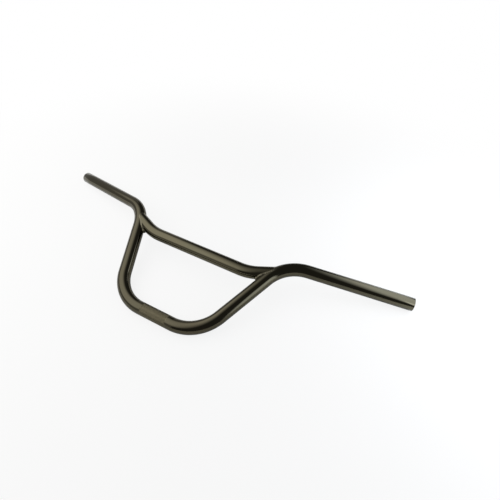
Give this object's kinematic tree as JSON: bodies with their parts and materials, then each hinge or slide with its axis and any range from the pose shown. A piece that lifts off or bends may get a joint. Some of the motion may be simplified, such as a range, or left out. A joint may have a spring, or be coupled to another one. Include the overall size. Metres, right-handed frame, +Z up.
{
  "type": "bmx handlebar",
  "caption": "Low, wide bicycle handlebar: splayed legs, swept-back grips and an upturned crossbar that is coped and welded between the legs.",
  "frame": {"origin": "middle of the clamp straight, on the tube's centre line, which is at the height of one tube radius above the surface that the bar lies on", "axes": "+X along the clamp straight, to the right as seen from the front of the bike; +Y across the surface, the way the legs rise from the clamp to the grips; +Z up, out of the side that faces forwards in use"},
  "size_m": [0.7202, 0.2366, 0.0528],
  "materials": {
    "black_chrome": "glossy black chrome plating over steel tube",
    "plated_weld": "black chrome plating over rippled weld metal"
  },
  "bodies": {
    "root": {"main_bar": "black_chrome", "crossbar": "black_chrome", "weld_beads": "plated_weld"}
  },
  "joints": []
}
